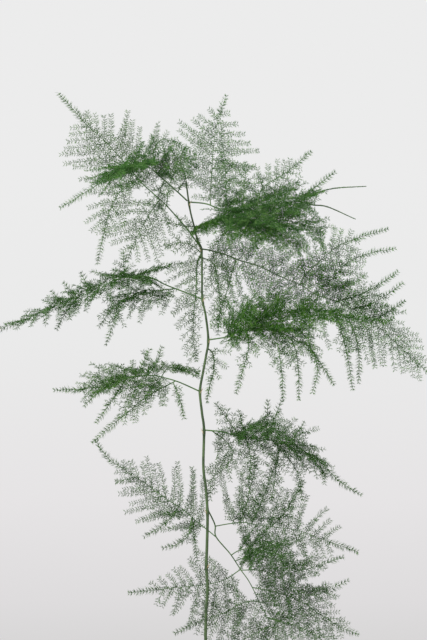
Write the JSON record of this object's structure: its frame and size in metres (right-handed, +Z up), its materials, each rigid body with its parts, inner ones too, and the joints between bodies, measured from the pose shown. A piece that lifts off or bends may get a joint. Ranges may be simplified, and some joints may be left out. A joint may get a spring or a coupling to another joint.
{
  "type": "potted lace fern",
  "caption": "Potted lace fern: a wiry zigzag stem with arching, finely divided fronds of hair-like needles, in a plain round clay pot of soil with drain holes.",
  "frame": {"origin": "centre of the underside of the pot", "axes": "+Z up along the stem, +X to the right and +Y away from a reader who faces the side that the plant shows best"},
  "size_m": [0.441, 0.1872, 0.707],
  "materials": {
    "clay": "matte",
    "soil": "matte",
    "stem": "satin",
    "foliage": "satin"
  },
  "bodies": {
    "root": {"pot": "clay", "soil": "soil", "main_stem": "stem", "frond_top": "foliage", "frond_upper_left": "foliage", "frond_left_crest": "foliage", "frond_upper_right": "foliage", "frond_right_ledge": "foliage", "frond_right_sweep": "foliage", "frond_stem_veil": "foliage", "frond_right_shelf": "foliage", "frond_stem_tassel": "foliage", "frond_left_arch": "foliage", "frond_left_lower": "foliage", "frond_middle_right": "foliage", "frond_lower_right": "foliage"}
  },
  "joints": []
}
